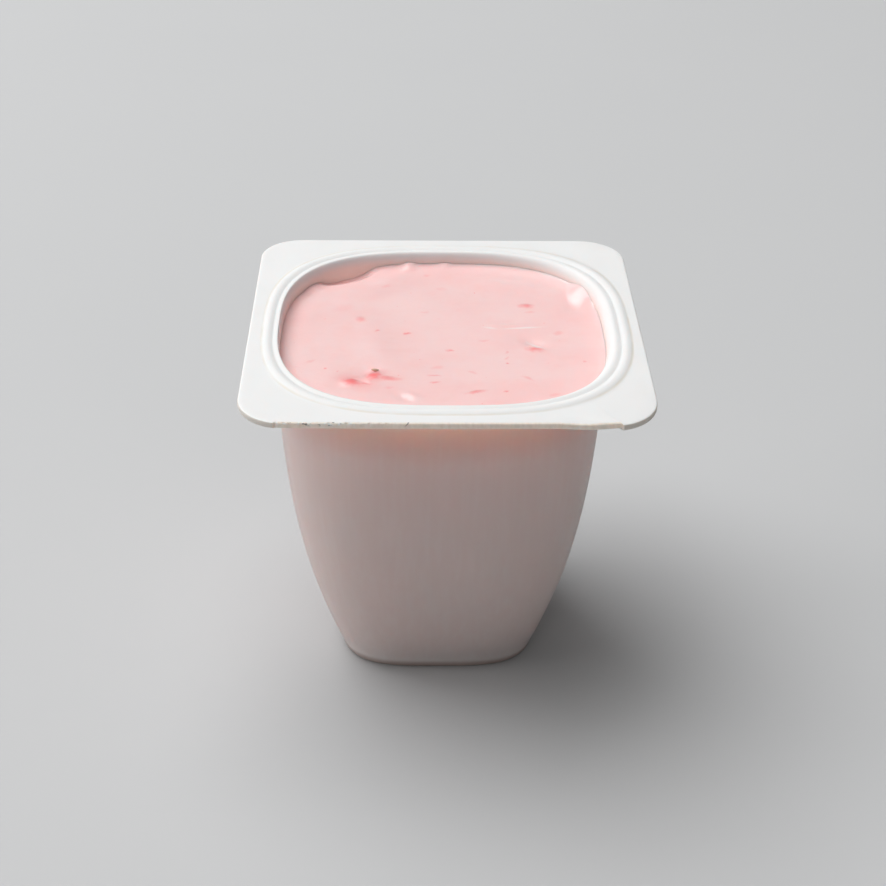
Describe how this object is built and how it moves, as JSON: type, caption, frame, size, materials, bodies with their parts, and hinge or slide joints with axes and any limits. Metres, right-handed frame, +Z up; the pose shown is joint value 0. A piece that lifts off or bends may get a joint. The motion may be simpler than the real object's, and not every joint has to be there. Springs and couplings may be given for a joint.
{
  "type": "yogurt pot",
  "caption": "Open square-flanged white plastic pot filled with pink strawberry yogurt, its rounded-square body tapering to a small flat base.",
  "frame": {"origin": "on the ground under the middle of the flange", "axes": "+Z up; the snapped side of the flange faces -Y; +X to the right seen from that side"},
  "size_m": [0.0666, 0.0664, 0.0611],
  "materials": {
    "plastic": "white thermoformed sheet, satin, slightly see-through where thin",
    "yogurt": "smooth wet yogurt, pale pink with redder fruit bits"
  },
  "bodies": {
    "root": {"pot": "plastic", "yogurt": "yogurt"}
  },
  "joints": []
}
